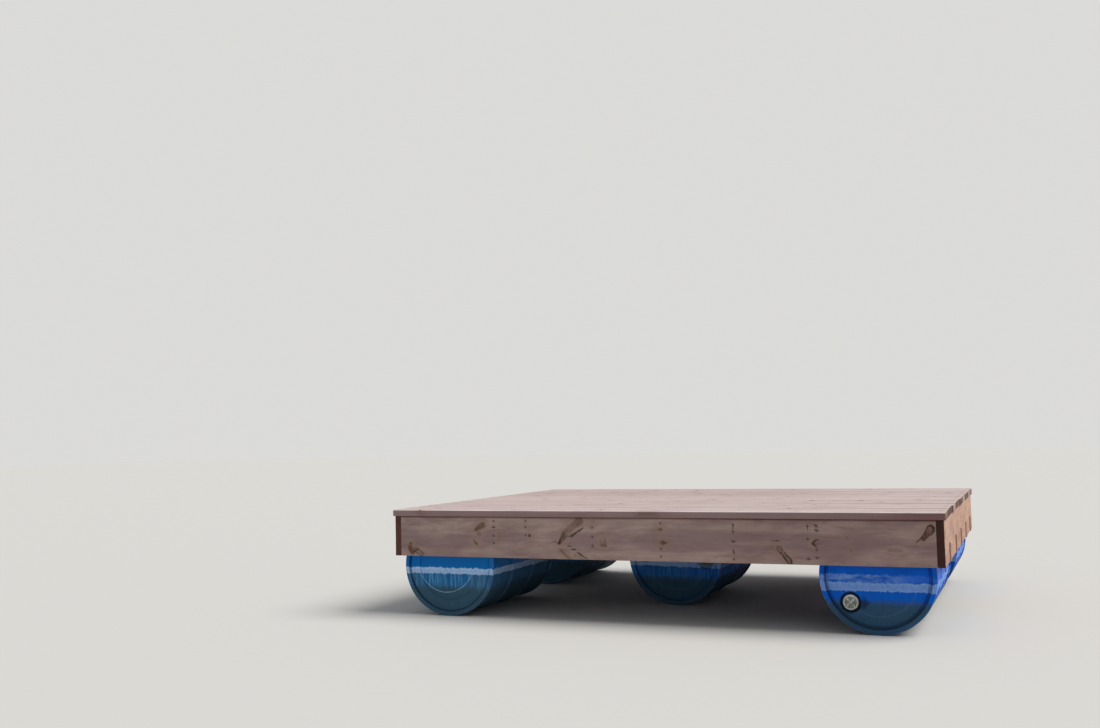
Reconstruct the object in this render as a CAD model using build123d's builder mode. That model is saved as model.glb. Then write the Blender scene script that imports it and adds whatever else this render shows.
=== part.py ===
"""Floating timber jetty on five plastic drums, in millimetres, +Z up.

The jetty is a nailed raft of sawn timber: a rim of deep boards, joists between them and
deck boards across the top. Five closed drums lie in bays of the frame, under the deck.
The origin is on the ground under the middle, X runs along the front, and -Y is the front.
"""
from build123d import *
import os

os.makedirs("parts", exist_ok=True)

# Timber sections
board_thickness = 38.0
frame_depth = 235.0
deck_board_width = 140.0
timber_edge = 3.0

# Outline of the frame
rim_length = 3048.0
side_length = 2438.0
frame_width = rim_length + 2 * board_thickness

# Deck
deck_gap_least = 4.0
deck_front_lap = 10.0
deck_side_lap = 10.0
deck_end_stagger = 6.0

# Drums
drum_diameter = 585.0
drum_length = 889.0
drum_wall = 3.5
drum_edge = 2.0
body_inset = 7.0
neck_inset = 12.0
neck_length = 34.0
shoulder_length = 12.0
hoop_height = 46.0
hoop_spacing = 300.0
chime_width = 30.0
chime_lip = 15.0
chime_edge = 6.0

# Drum heads: one with bungs and a gutter round it, one plain with a sunk panel
bung_head_recess = 16.0
gutter_width = 12.0
gutter_depth = 5.0
plain_head_recess = 12.0
plain_panel_radius = 200.0
plain_panel_step = 6.0

# Bungs, in wells of the head
bung_circle_radius = 192.0
bung_well_diameter = 106.0
bung_well_depth = 9.0
bung_flange_diameter = 78.0
bung_flange_height = 11.0
bung_shank_diameter = 58.0
bung_shank_length = 26.0
bung_edge = 1.5
bung_cup_diameter = 60.0
bung_cup_depth = 7.0
bung_rib_width = 8.0

# Clearances
drum_seat_gap = 0.3
drum_side_gap = 4.0
drum_end_gap = 3.0
bung_gap = 0.3

# Joists, measured between the middles of two neighbours
joist_pitch = 406.4
centre_drum_shift = -62.0

# Levels
drum_axis_height = drum_diameter / 2
frame_top = drum_diameter + drum_seat_gap
frame_bottom = frame_top - frame_depth
deck_top = frame_top + board_thickness

# Faces of the frame
rim_outer_y = side_length / 2
rim_inner_y = rim_outer_y - board_thickness
side_outer_x = frame_width / 2
side_inner_x = rim_length / 2
drum_bay_width = drum_diameter + 2 * drum_side_gap
drum_bay_length = drum_length + 2 * drum_end_gap
corner_drum_x = side_inner_x - drum_bay_width / 2
corner_drum_y = rim_inner_y - drum_bay_length / 2
bay_joist_x = side_inner_x - drum_bay_width - board_thickness / 2
bay_block_y = rim_inner_y - drum_bay_length - board_thickness / 2
header_y = drum_bay_length / 2 + board_thickness / 2


def board_along_x(node, x_from, x_to, y_middle):
    """Write one upright frame board that runs along X."""
    with BuildPart() as board:
        with BuildSketch(Plane.YZ.offset(x_from)):
            with Locations((y_middle, (frame_bottom + frame_top) / 2)):
                Rectangle(board_thickness, frame_depth)
        extrude(amount=x_to - x_from)
        fillet(board.edges().filter_by(Axis.X), timber_edge)
    board.part.label = node
    export_step(board.part, f"parts/{node}.step")


def boards_along_y(node, y_from, y_to, x_middles):
    """Write one node of upright frame boards that run along Y."""
    with BuildPart() as boards:
        with BuildSketch(Plane.XZ.offset(-y_to)):
            with Locations(*[(x, (frame_bottom + frame_top) / 2) for x in x_middles]):
                Rectangle(board_thickness, frame_depth)
        extrude(amount=y_to - y_from)
        fillet(boards.edges().filter_by(Axis.Y), timber_edge)
    boards.part.label = node
    export_step(boards.part, f"parts/{node}.step")


# Rim and side boards: the rim boards stand between the two side boards
board_along_x("front_rim_board", -side_inner_x, side_inner_x, -rim_outer_y + board_thickness / 2)
board_along_x("back_rim_board", -side_inner_x, side_inner_x, rim_outer_y - board_thickness / 2)
boards_along_y("left_side_board", -rim_outer_y, rim_outer_y, [-side_outer_x + board_thickness / 2])
boards_along_y("right_side_board", -rim_outer_y, rim_outer_y, [side_outer_x - board_thickness / 2])

# Full joists: one beside each corner drum, a second nailed to the right one, and two on the pitch
second_joist_x = -side_inner_x + 2 * joist_pitch
fifth_joist_x = second_joist_x + 3 * joist_pitch
boards_along_y("left_bay_joist", -rim_inner_y, rim_inner_y, [-bay_joist_x])
boards_along_y("left_inner_joist", -rim_inner_y, rim_inner_y, [second_joist_x])
boards_along_y("right_inner_joist", -rim_inner_y, rim_inner_y, [fifth_joist_x])
boards_along_y("right_double_joist", -rim_inner_y, rim_inner_y, [bay_joist_x - board_thickness])
boards_along_y("right_bay_joist", -rim_inner_y, rim_inner_y, [bay_joist_x])

# Headers in front of and behind the centre drum, between the two inner joists
header_from_x = second_joist_x + board_thickness / 2
header_to_x = fifth_joist_x - board_thickness / 2
board_along_x("front_header", header_from_x, header_to_x, -header_y)
board_along_x("back_header", header_from_x, header_to_x, header_y)

# Short joists from the rims to the headers, on the pitch
short_joists = [second_joist_x + joist_pitch, second_joist_x + 2 * joist_pitch]
header_outer_y = header_y + board_thickness / 2
header_inner_y = header_y - board_thickness / 2
boards_along_y("front_short_joists", -rim_inner_y, -header_outer_y, short_joists)
boards_along_y("back_short_joists", header_outer_y, rim_inner_y, short_joists)

# Trimmers along both sides of the centre drum
trimmer_offset = drum_bay_width / 2 + board_thickness / 2
centre_trimmers = [centre_drum_shift - trimmer_offset, centre_drum_shift + trimmer_offset]
boards_along_y("centre_trimmers", -header_inner_y, header_inner_y, centre_trimmers)

# Blocks behind the corner drums, between each side board and its bay joist
block_inner_x = side_inner_x - drum_bay_width
board_along_x("front_left_block", -side_inner_x, -block_inner_x, -bay_block_y)
board_along_x("front_right_block", block_inner_x, side_inner_x, -bay_block_y)
board_along_x("back_left_block", -side_inner_x, -block_inner_x, bay_block_y)
board_along_x("back_right_block", block_inner_x, side_inner_x, bay_block_y)

# Deck boards, laid from the front lap to the back lap with even gaps between them
deck_depth = side_length + 2 * deck_front_lap
deck_boards = int((deck_depth + deck_gap_least) // (deck_board_width + deck_gap_least))
deck_pitch = (deck_depth - deck_board_width) / (deck_boards - 1)
deck_end_x = side_outer_x + deck_side_lap
for row in range(deck_boards):
    node = f"deck_board_{row + 1:02d}"
    row_y = -deck_depth / 2 + deck_board_width / 2 + row * deck_pitch
    left_end = -deck_end_x + deck_end_stagger * (row % 3) / 2
    right_end = deck_end_x - deck_end_stagger * (row % 4) / 3
    with BuildPart() as deck_board:
        with BuildSketch(Plane.YZ.offset(left_end)):
            with Locations((row_y, (frame_top + deck_top) / 2)):
                Rectangle(deck_board_width, board_thickness)
        extrude(amount=right_end - left_end)
        fillet(deck_board.edges().filter_by(Axis.X), timber_edge)
    deck_board.part.label = node
    export_step(deck_board.part, f"parts/{node}.step")


def revolve_vessel(section, skin):
    """Revolve the drum's vessel, without its chimes, moved in by skin all round.

    In the section X is the radius and Y the axis, with the bung head at the top.
    """
    body = drum_diameter / 2 - body_inset - skin
    hoop = drum_diameter / 2 - skin
    neck = drum_diameter / 2 - neck_inset - skin
    gutter = drum_diameter / 2 - chime_width - gutter_width - skin
    panel = plain_panel_radius + skin
    bung_head = drum_length / 2 - bung_head_recess - skin
    bung_gutter = bung_head - gutter_depth
    plain_head = drum_length / 2 - plain_head_recess - skin
    plain_panel = plain_head - plain_panel_step
    neck_end = drum_length / 2 - neck_length
    shoulder_end = neck_end - shoulder_length
    hoop_outer = (hoop_spacing + hoop_height) / 2
    hoop_middle = hoop_spacing / 2
    hoop_inner = (hoop_spacing - hoop_height) / 2
    with BuildPart() as vessel:
        with BuildSketch(section) as profile:
            with BuildLine():
                Polyline(
                    (0, bung_head),
                    (gutter, bung_head),
                    (gutter, bung_gutter),
                    (neck, bung_gutter),
                    (neck, neck_end),
                    (body, shoulder_end),
                    (body, hoop_outer),
                )
                ThreePointArc((body, hoop_outer), (hoop, hoop_middle), (body, hoop_inner))
                Line((body, hoop_inner), (body, -hoop_inner))
                ThreePointArc((body, -hoop_inner), (hoop, -hoop_middle), (body, -hoop_outer))
                Polyline(
                    (body, -hoop_outer),
                    (body, -shoulder_end),
                    (neck, -neck_end),
                    (neck, -plain_head),
                    (panel, -plain_head),
                    (panel, -plain_panel),
                    (0, -plain_panel),
                    (0, bung_head),
                )
            make_face()
            if skin == 0:
                fillet(profile.vertices().filter_by_position(Axis.X, 1, body + 1), drum_edge)
        revolve(axis=Axis(section.origin, section.y_dir))
    return vessel.part


def make_drum(node, x, y, bungs_face, bung_angle):
    """Write one closed drum that lies along Y, and give its two bungs.

    bungs_face is -1 where the bung head looks to the front and 1 where it looks to the back.
    bung_angle turns the pair of bungs about the drum's axis.
    """
    section = Plane(
        origin=(x, y, drum_axis_height),
        x_dir=(1, 0, 0),
        z_dir=(0, 0, bungs_face),
    )
    bung_end = Plane(
        origin=(x, y + bungs_face * drum_length / 2, drum_axis_height),
        x_dir=(-bungs_face, 0, 0),
        z_dir=(0, bungs_face, 0),
    )
    plain_end = Plane(
        origin=(x, y - bungs_face * drum_length / 2, drum_axis_height),
        x_dir=(bungs_face, 0, 0),
        z_dir=(0, -bungs_face, 0),
    )
    bung_head = bung_end.offset(-bung_head_recess)
    bung_seat = bung_head.offset(-bung_well_depth)
    bung_places = PolarLocations(bung_circle_radius, 2, start_angle=bung_angle)
    vessel = revolve_vessel(section, 0)
    cavity = revolve_vessel(section, drum_wall)

    with BuildPart() as drum:
        add(vessel)
        for end in (bung_end, plain_end):
            with BuildSketch(end):
                Circle(drum_diameter / 2)
                Circle(drum_diameter / 2 - chime_width, mode=Mode.SUBTRACT)
            extrude(amount=-chime_lip)
            with BuildSketch(end):
                Circle(drum_diameter / 2 - neck_inset)
                Circle(drum_diameter / 2 - chime_width, mode=Mode.SUBTRACT)
            extrude(amount=-neck_length)
            end_face = drum.faces().sort_by(Axis(end.origin, end.z_dir))[-1]
            fillet(end_face.edges(), chime_edge)
        add(cavity, mode=Mode.SUBTRACT)
        with BuildSketch(bung_head):
            with bung_places:
                Circle(bung_well_diameter / 2 + drum_wall)
        extrude(amount=-bung_well_depth - drum_wall)
        with BuildSketch(bung_head):
            with bung_places:
                Circle(bung_well_diameter / 2)
        extrude(amount=-bung_well_depth, mode=Mode.SUBTRACT)
        with BuildSketch(bung_seat):
            with bung_places:
                Circle(bung_shank_diameter / 2 + bung_gap)
        extrude(amount=-2 * drum_wall, mode=Mode.SUBTRACT)
    drum.part.label = node
    export_step(drum.part, f"parts/{node}.step")

    with BuildPart() as bungs:
        with BuildSketch(bung_seat):
            with bung_places:
                Circle(bung_flange_diameter / 2)
        extrude(amount=bung_flange_height)
        bung_tops = bungs.faces().sort_by(Axis(bung_end.origin, bung_end.z_dir))[-2:]
        chamfer([edge for top in bung_tops for edge in top.edges()], bung_edge)
        with BuildSketch(bung_seat):
            with bung_places:
                Circle(bung_shank_diameter / 2)
        extrude(amount=-bung_shank_length)
        with BuildSketch(bung_seat.offset(bung_flange_height)):
            with bung_places:
                Circle(bung_cup_diameter / 2)
                Rectangle(bung_cup_diameter, bung_rib_width, mode=Mode.SUBTRACT)
                Rectangle(bung_rib_width, bung_cup_diameter, mode=Mode.SUBTRACT)
        extrude(amount=-bung_cup_depth, mode=Mode.SUBTRACT)
    return bungs.part


# Five drums: one in each corner bay and one in the middle, each with its two bungs
all_bungs = [
    make_drum("drum_front_left", -corner_drum_x, -corner_drum_y, 1, 12.0),
    make_drum("drum_front_right", corner_drum_x, -corner_drum_y, -1, 43.7),
    make_drum("drum_centre", centre_drum_shift, 0, -1, 175.0),
    make_drum("drum_back_left", -corner_drum_x, corner_drum_y, 1, 28.0),
    make_drum("drum_back_right", corner_drum_x, corner_drum_y, -1, 75.0),
]
with BuildPart() as drum_bungs:
    add(all_bungs)
drum_bungs.part.label = "drum_bungs"
export_step(drum_bungs.part, "parts/drum_bungs.step")
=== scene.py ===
"""Floating wooden jetty: a deck of sawn boards on a deep timber frame, carried by five plastic drums.

The sections follow the jetty as it is put together: drums, bungs, rim and side boards, laths, joists, deck
and nails. The studio comes last.
"""
import math

import bpy
import numpy as np
from mathutils import Matrix, Vector


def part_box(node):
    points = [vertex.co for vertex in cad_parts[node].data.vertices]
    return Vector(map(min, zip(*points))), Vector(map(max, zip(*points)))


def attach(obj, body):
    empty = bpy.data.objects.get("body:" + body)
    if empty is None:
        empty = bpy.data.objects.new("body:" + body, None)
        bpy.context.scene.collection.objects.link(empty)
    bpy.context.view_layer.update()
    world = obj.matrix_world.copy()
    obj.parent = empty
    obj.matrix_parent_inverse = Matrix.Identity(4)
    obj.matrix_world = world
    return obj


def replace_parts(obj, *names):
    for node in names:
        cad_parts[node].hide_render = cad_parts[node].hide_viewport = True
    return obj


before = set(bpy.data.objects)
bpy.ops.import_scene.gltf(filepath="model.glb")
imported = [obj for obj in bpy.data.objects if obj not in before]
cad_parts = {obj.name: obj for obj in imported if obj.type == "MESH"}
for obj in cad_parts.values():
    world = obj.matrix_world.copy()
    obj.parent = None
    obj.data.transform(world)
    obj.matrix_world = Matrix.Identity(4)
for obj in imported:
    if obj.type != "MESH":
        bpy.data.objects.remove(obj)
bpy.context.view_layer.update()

# Drums
# Five blow-moulded polythene drums lie under the frame as floats. Years afloat have left the blue clean
# only near the top: below it come a chalky band, a scratched teal one and, on the lowest part, a film of
# algae.
drum_axis_xs = (-1.2275, -0.062, 1.2275)
drum_axis_z = 0.2925
drum_film_top = 0.150
# The scraped ring on each head: its radius about the axis, and the front left one's own centre and radius.
scrape_radius = 0.201
left_scrape_x, left_scrape_z = -1.2555, 0.3250
left_scrape_radius = 0.190
smear_x, smear_z = 1.155, 0.160
# The head with bungs on each drum: the drum's node, the way that head faces along Y, and the angle in
# degrees of the line through its two bungs, which lie on opposite sides of the axis.
bung_heads = (
    ("drum_front_right", -1, 43.7),
    ("drum_centre", -1, 175.0),
    ("drum_back_right", -1, 75.0),
    ("drum_front_left", 1, 168.0),
    ("drum_back_left", 1, 152.0),
)
bung_circle = 0.192


def paint(red, green, blue):
    """A colour given in the 0 to 255 steps of a screen, as linear light."""
    channels = np.array([red, green, blue]) / 255
    linear = np.where(channels > 0.04045, ((channels + 0.055) / 1.055) ** 2.4, channels / 12.92)
    return (*linear.tolist(), 1.0)


def bare_finish(name, roughness, specular):
    """A new material with one plain shader, its roughness and specular level set on the shader itself."""
    finish = bpy.data.materials.new(name)
    finish.use_nodes = True
    shader = finish.node_tree.nodes["Principled BSDF"]
    shader.inputs["Roughness"].default_value = roughness
    shader.inputs["Specular IOR Level"].default_value = specular
    return finish


def step(kind, sockets, out=0, tree=None, **settings):
    """Adds one node and gives back its output. sockets holds a value or a feeding output for each input
    that is set. The node joins the tree of what feeds it, and one that nothing feeds is given its tree."""
    for value in sockets.values():
        if isinstance(value, bpy.types.NodeSocket):
            tree = value.id_data
    made = tree.nodes.new("ShaderNode" + kind)
    for setting, value in settings.items():
        setattr(made, setting, value)
    for key, value in sockets.items():
        if isinstance(value, bpy.types.NodeSocket):
            tree.links.new(value, made.inputs[key])
        else:
            made.inputs[key].default_value = value
    return made.outputs[out]


def work(operation, *values):
    """One sum on numbers, such as ADD or MINIMUM."""
    return step("Math", dict(enumerate(values)), operation=operation)


def times(*values):
    """The product of two or more numbers."""
    product = values[0]
    for value in values[1:]:
        product = work("MULTIPLY", product, value)
    return product


def less(first, second):
    """The first number less the second."""
    return work("SUBTRACT", first, second)


def gap(first, second):
    """How far apart two numbers are, without a sign."""
    return work("ABSOLUTE", less(first, second))


def line(value, slope, start):
    """A straight line: value times slope, plus start."""
    return work("MULTIPLY_ADD", value, slope, start)


def swayed(value, noise, amount):
    """A number moved by noise that is centred on zero: value + amount * (noise - 0.5)."""
    return line(less(noise, 0.5), amount, value)


def far_off(across, up):
    """How far off a place is that lies so far across and so far up: the root of the sum of the squares."""
    return work("SQRT", work("ADD", times(across, across), times(up, up)))


def ramp(value, start, end, low=0.0, high=1.0):
    """A smooth step: low up to start, high from end on, and an even S-shaped rise between them."""
    sockets = {"Value": value, "From Min": start, "From Max": end, "To Min": low, "To Max": high}
    return step("MapRange", sockets, interpolation_type="SMOOTHSTEP")


def parts_of(vector):
    """The three numbers of a vector."""
    x, y, z = step("SeparateXYZ", {0: vector}).node.outputs
    return x, y, z


def clouds(where, per_metre, detail=2.0, rough=0.5, seed=(0.0, 0.0, 0.0)):
    """Soft noise from 0 to 1. The place is stretched by per_metre, the number of clouds in a metre each
    way."""
    stretched = step("VectorMath", {0: where, 1: per_metre, 2: seed}, operation="MULTIPLY_ADD")
    return step("TexNoise", {"Vector": stretched, "Scale": 1.0, "Detail": detail, "Roughness": rough})


def coat(amount, under, over, blend="MIX"):
    """Lays the colour over on the colour under, as strongly as amount says."""
    return step("Mix", {0: amount, 6: under, 7: over}, out=2, data_type="RGBA", blend_type=blend)


def close_finish(finish, colour, roughness, height, depth):
    """Leads colour, roughness and height to the shader. depth is how far the height map stands out, in
    metres."""
    shader = finish.node_tree.nodes["Principled BSDF"]
    bump = step("Bump", {"Strength": 1.0, "Distance": depth, "Height": height}, out="Normal")
    finish.node_tree.links.new(colour, shader.inputs["Base Color"])
    finish.node_tree.links.new(roughness, shader.inputs["Roughness"])
    finish.node_tree.links.new(bump, shader.inputs["Normal"])
    return finish


def drum_finish():
    """Blue plastic in bands by height, scuffed and with a painted highlight where a hoop or chime stands
    out, with drip streaks.
    """
    finish = bare_finish("weathered_blue_drum", 0.45, 0.09)
    place = step("TexCoord", {}, "Object", finish.node_tree)
    x, y, z = parts_of(place)
    ragged = clouds(place, (34.0, 34.0, 26.0), detail=5.0, rough=0.65)
    runs = clouds(place, (75.0, 75.0, 6.0), detail=4.0, rough=0.65)
    patches = clouds(place, (7.0, 7.0, 22.0), detail=5.0, rough=0.65, seed=(3.0, 1.0, 7.0))
    grime = clouds(place, (55.0, 55.0, 42.0), detail=5.0, rough=0.7, seed=(8.0, 2.0, 4.0))
    specks = clouds(place, (110.0, 110.0, 150.0), detail=4.0, rough=0.75, seed=(4.0, 6.0, 2.0))
    scuffs = clouds(place, (160.0, 40.0, 160.0), detail=4.0, rough=0.7, seed=(1.0, 9.0, 5.0))
    drift = swayed(swayed(z, ragged, 0.024), runs, 0.018)

    # Clean plastic: blue on the right drums, with more green in it towards the left
    rightward = ramp(x, -1.0, 1.0)
    clean = coat(ramp(patches, 0.3, 0.7), paint(0, 84, 190), paint(0, 100, 222))
    clean = coat(less(1.0, rightward), clean, paint(8, 112, 192))

    # The chalky band, strongest along its edges, with a patchy haze above it on the right
    band_foot = line(rightward, -0.024, 0.242)
    band_head = line(rightward, -0.016, 0.279)
    above_foot = ramp(less(drift, band_foot), -0.004, 0.004)
    below_head = ramp(less(band_head, drift), -0.003, 0.005)
    haze_head = work("ADD", band_head, 0.040)
    below_haze = ramp(less(haze_head, drift), -0.004, 0.006)
    hazy = ramp(patches, 0.38, 0.58, 0.06, 0.80)
    haze = times(below_haze, hazy, rightward, ramp(x, 1.42, 1.22, 0.15, 1.0))
    foot_line = times(ramp(gap(drift, band_foot), 0.011, 0.003), rightward)
    head_line = ramp(gap(band_head, drift), 0.016, 0.004)
    edged = line(work("MAXIMUM", foot_line, head_line), 0.22, 0.80)
    band = work("MAXIMUM", times(below_head, edged), haze)
    rubbed = times(ramp(grime, 0.30, 0.60, 0.72, 1.12), ramp(specks, 0.36, 0.54, 0.80, 1.0))
    chalk = times(above_foot, band, rubbed)
    chalk_colour = coat(rightward, paint(186, 218, 254), paint(130, 167, 226))
    colour = coat(chalk, clean, chalk_colour)

    # Below the band: drips on scratched plastic, then the film of algae and the silt on the lowest part
    under_foot = less(1.0, above_foot)
    low_blue = coat(rightward, paint(26, 104, 166), paint(0, 92, 200))
    drip_blue = coat(rightward, paint(84, 146, 192), paint(0, 100, 208))
    streaked = coat(ramp(runs, 0.44, 0.64), low_blue, drip_blue)
    colour = coat(under_foot, colour, streaked)
    algae_height = swayed(drift, grime, 0.05)
    algae = ramp(algae_height, drum_film_top + 0.034, drum_film_top + 0.006)
    film = coat(grime, paint(24, 66, 92), paint(86, 92, 62))
    colour = coat(times(algae, 0.70), colour, film)
    sunk = ramp(drift, drum_film_top + 0.006, drum_film_top - 0.004)
    silt = coat(grime, paint(18, 70, 118), paint(64, 88, 70))
    colour = coat(times(sunk, ramp(patches, 0.3, 0.7, 0.50, 0.85)), colour, silt)

    # Scuffs and a painted highlight on the chimes and hoops, which are what stands farthest from the
    # drum's axis
    beside = [gap(x, axis_x) for axis_x in drum_axis_xs]
    nearest = work("MINIMUM", work("MINIMUM", beside[0], beside[1]), beside[2])
    rise = less(z, drum_axis_z)
    radius = far_off(nearest, rise)
    worn = times(ramp(radius, 0.2872, 0.2915), ramp(scuffs, 0.40, 0.62))
    colour = coat(times(worn, 0.62), colour, paint(150, 166, 214))

    # A scraped ring on each head. The front left one is strong, off the axis and dull outside the ring.
    on_left_head = times(ramp(x, -0.6, -0.8), ramp(y, -0.1, -0.25))
    off_axis = far_off(less(x, left_scrape_x), less(z, left_scrape_z))
    plain_ring = less(radius, scrape_radius)
    shift = less(less(off_axis, left_scrape_radius), plain_ring)
    past_ring = line(on_left_head, shift, plain_ring)
    dull = times(ramp(past_ring, -0.003, 0.004), on_left_head, under_foot)
    colour = coat(times(dull, 0.45), colour, paint(66, 98, 120))
    ring = ramp(work("ABSOLUTE", past_ring), 0.0046, 0.0012)
    ring = times(ring, ramp(scuffs, 0.34, 0.54), under_foot)
    ring = times(ring, line(on_left_head, 0.53, 0.07))
    colour = coat(ring, colour, paint(158, 200, 226))

    # Dirt and painted shade in the gutters and the bungs' wells, and one smear beside the front right
    # drum's lower bung
    gutter = times(ramp(radius, 0.258, 0.2615), ramp(radius, 0.2700, 0.2665))
    at_head = ramp(work("ABSOLUTE", y), 1.150, 1.160)
    grime_and_shade = times(gutter, at_head, 0.6)
    for node, facing, degrees in bung_heads:
        low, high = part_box(node)
        head_y = (low, high)[(facing + 1) // 2].y
        cosine, sine = math.cos(math.radians(degrees)), math.sin(math.radians(degrees))
        across = less(x, (low.x + high.x) / 2)
        on_line = work("ABSOLUTE", line(across, cosine, times(rise, sine)))
        off_line = line(across, -sine, times(rise, cosine))
        from_bung = far_off(gap(on_line, bung_circle), off_line)
        darkest = 0.45 if node == "drum_centre" else 0.92
        well = ramp(line(grime, 0.012, from_bung), 0.064, 0.056, 0.0, darkest)
        near_head = ramp(gap(y, head_y), 0.050, 0.040)
        grime_and_shade = work("MAXIMUM", grime_and_shade, times(well, near_head))
    beside_bung = work("ADD", gap(x, smear_x), gap(z, smear_z))
    smear = ramp(swayed(beside_bung, ragged, 0.06), 0.046, 0.014, 0.0, 0.62)
    grime_and_shade = work("MAXIMUM", grime_and_shade, times(smear, ramp(y, -1.0, -1.1)))
    colour = coat(grime_and_shade, colour, paint(10, 26, 40))

    orange_peel = clouds(place, (420.0, 420.0, 420.0))
    height = line(scuffs, 0.35, times(orange_peel, 0.35))
    height = line(times(algae, grime), 0.6, height)
    matt = work("MAXIMUM", times(chalk, 0.30), times(algae, 0.22))
    roughness = line(patches, 0.12, work("ADD", matt, 0.38))
    return close_finish(finish, colour, roughness, height, 0.0007)


def refinish(nodes, finish):
    """Gives CAD nodes a new finish. Their shapes stay as they are."""
    for node in nodes:
        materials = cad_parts[node].data.materials
        materials.clear()
        materials.append(finish)


refinish([node for node, _, _ in bung_heads], drum_finish())

# Bungs
# Two threaded bungs of natural white polythene close each drum's head. They sit in wells, and their ribbed
# cups have yellowed and caught the same algae as the drums. Deep in the cups the colour darkens, partly as
# painted shade.
bung_cup_floor = 0.021


def bung_finish():
    """Milky plastic, yellowed and grimy in the cups with painted shade in their depths, and coated dark
    with mud and painted shade on the middle drum. A cup's floor lies bung_cup_floor inside its drum's end,
    and a place is as deep as it is near to a floor along Y."""
    finish = bare_finish("yellowed_bung_plastic", 0.4, 0.45)
    place = step("TexCoord", {}, "Object", finish.node_tree)
    x, y, z = parts_of(place)
    blotches = clouds(place, (40.0, 40.0, 40.0), detail=4.0, rough=0.6)
    specks = clouds(place, (210.0, 210.0, 210.0), detail=4.0, rough=0.7)
    off_floor = 1.0
    for node, facing, _ in bung_heads:
        floor_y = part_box(node)[(facing + 1) // 2].y - facing * bung_cup_floor
        off_floor = work("MINIMUM", gap(y, floor_y), off_floor)
    # Deep in a cup the plastic is greyer and yellower: grime, with painted shade in the recess.
    deep = ramp(off_floor, 0.0068, 0.0004)
    colour = coat(ramp(blotches, 0.35, 0.65), paint(226, 232, 236), paint(204, 206, 200))
    cup = coat(ramp(blotches, 0.40, 0.60), paint(172, 174, 166), paint(140, 136, 120))
    colour = coat(times(deep, 0.9), colour, cup)
    low = ramp(z, 0.215, 0.150)
    dirt = times(ramp(specks, 0.62, 0.40), line(low, 0.6, 0.22))
    colour = coat(dirt, colour, paint(92, 96, 72))
    # The middle drum's bungs, under the deck, are coated dark blue: mud and painted shade.
    on_centre_drum = times(ramp(x, -0.45, -0.40), ramp(x, 0.35, 0.30))
    mud_and_shade = times(on_centre_drum, ramp(specks, 0.3, 0.6, 0.92, 0.80))
    colour = coat(mud_and_shade, colour, paint(14, 56, 96))
    roughness = line(blotches, 0.25, 0.3)
    return close_finish(finish, colour, roughness, specks, 0.0004)


refinish(["drum_bungs"], bung_finish())

# Rim and side boards
# Four deep softwood boards stand on edge round the raft. The rims are nailed between the side boards, so
# the side boards' sawn ends show at the front. Branches that grew through the boards show as round and
# spike knots.
draw = np.random.default_rng(4671)
timber_edge = 0.003
saw_bevel = 0.001
knot_surround = 0.018
# How far these fade out: a dark mark across it and past its ends, a nail's stain, and the painted shadow
# under an edge.
mark_reach = 0.016
mark_tip = 0.005
stain_reach = 0.007
lap_shadow_reach = 0.005


def board_section(width, thickness, columns, edge_columns, edge, arc_columns=3):
    """Closed outline of a board's section, as offsets across it and outwards, one row for each point. A
    point walks round the inner rectangle, and the edge's radius is added in the direction that it faces."""
    reach = np.array([width, thickness]) / 2 - edge
    corners = reach * np.array([[1, -1], [1, 1], [-1, 1], [-1, -1]])
    counts = [edge_columns, columns, edge_columns, columns]
    outline = []
    for side, count in enumerate(counts):
        share = np.linspace(0, 1, count, endpoint=False)[:, None]
        facing = side * np.pi / 2
        walk = corners[side] + share * (corners[(side + 1) % 4] - corners[side])
        outline.append(walk + edge * np.array([np.cos(facing), np.sin(facing)]))
        turn = facing + np.linspace(0, np.pi / 2, arc_columns, endpoint=False)[:, None]
        outline.append(corners[(side + 1) % 4] + edge * np.hstack([np.cos(turn), np.sin(turn)]))
    return np.vstack(outline)


def joined_rings(rings):
    """Closed surface through rings of points, as (points, triangles, kept). Points in one place become one,
    triangles that shrink to a line are left out, and kept says which of the points are still there."""
    points = rings.reshape(-1, 3)
    corner = np.arange(len(points)).reshape(rings.shape[:2])
    turned = np.roll(corner, -1, axis=1)
    here, beside, further, last = corner[:-1], turned[:-1], turned[1:], corner[1:]
    halves = [np.stack([here, beside, further], -1), np.stack([here, further, last], -1)]
    _, kept, joined = np.unique(np.round(points, 6), axis=0, return_index=True, return_inverse=True)
    triangles = joined.reshape(-1)[np.concatenate(halves).reshape(-1, 3)]
    a, b, c = triangles.T
    return points[kept], triangles[(a != b) & (b != c) & (c != a)], kept


def board_surface(length, width, thickness, rows, columns, edge_columns, edge=timber_edge):
    """Closed surface of a board as (points, triangles, cut), in its own along, across and outward
    directions. One parameter runs along the board and the other round its section. Past each end the
    section shrinks in steps to its middle line: a point is its middle point plus (1 - shrink) times the way
    out. cut is 1 on a sawn end."""
    outline = board_section(width, thickness, columns, edge_columns, edge)
    middle = np.zeros_like(outline)
    middle[:, 0] = np.clip(outline[:, 0], -(width - thickness) / 2, (width - thickness) / 2)
    cap = np.array([saw_bevel / (thickness / 2), 0.28, 0.52, 0.76, 1.0])
    inner = rows[np.abs(rows) < length / 2 - 2 * saw_bevel]
    end, bevel = np.full(len(cap), length / 2), length / 2 - saw_bevel
    along = np.concatenate([-end, [-bevel], inner, [bevel], end])
    shrink = np.concatenate([cap[::-1], np.zeros(len(inner) + 2), cap])
    section = middle + (1 - shrink)[:, None, None] * (outline - middle)
    rings = np.dstack([np.broadcast_to(along[:, None], section.shape[:2]), section])
    points, triangles, kept = joined_rings(rings)
    cut = np.repeat((shrink > 0).astype(float), len(outline))
    return points, triangles, cut[kept]


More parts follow.
